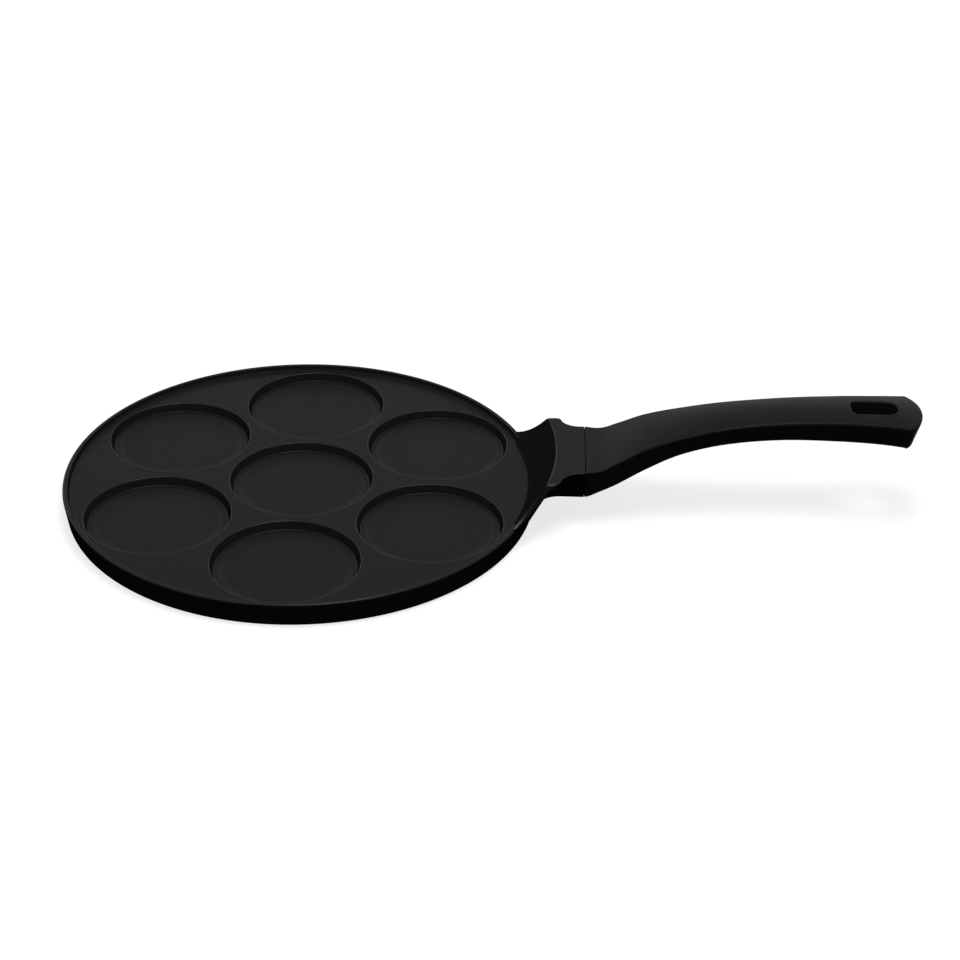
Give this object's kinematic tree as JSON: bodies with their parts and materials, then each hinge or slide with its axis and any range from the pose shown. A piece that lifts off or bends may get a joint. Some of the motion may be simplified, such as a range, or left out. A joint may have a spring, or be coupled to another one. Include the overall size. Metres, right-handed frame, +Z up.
{
  "type": "aebleskiver pan",
  "caption": "Low round non-stick pan with shallow round pockets in a ring around a middle one, and one curved moulded handle with a hanging slot.",
  "frame": {"origin": "centre of the underside of the base", "axes": "+X runs out to the handle, +Z is up"},
  "size_m": [0.4653, 0.2599, 0.0654],
  "materials": {
    "coated_casting": "cast aluminium under a black matt non-stick coating",
    "phenolic": "black satin phenolic moulding",
    "brass": "turned",
    "screw_steel": "zinc plated",
    "washer_steel": "zinc plated spring steel"
  },
  "bodies": {
    "root": {"pan_body": "coated_casting", "handle": "phenolic", "thread_insert": "brass", "handle_screw": "screw_steel", "spring_washer": "washer_steel"}
  },
  "joints": []
}
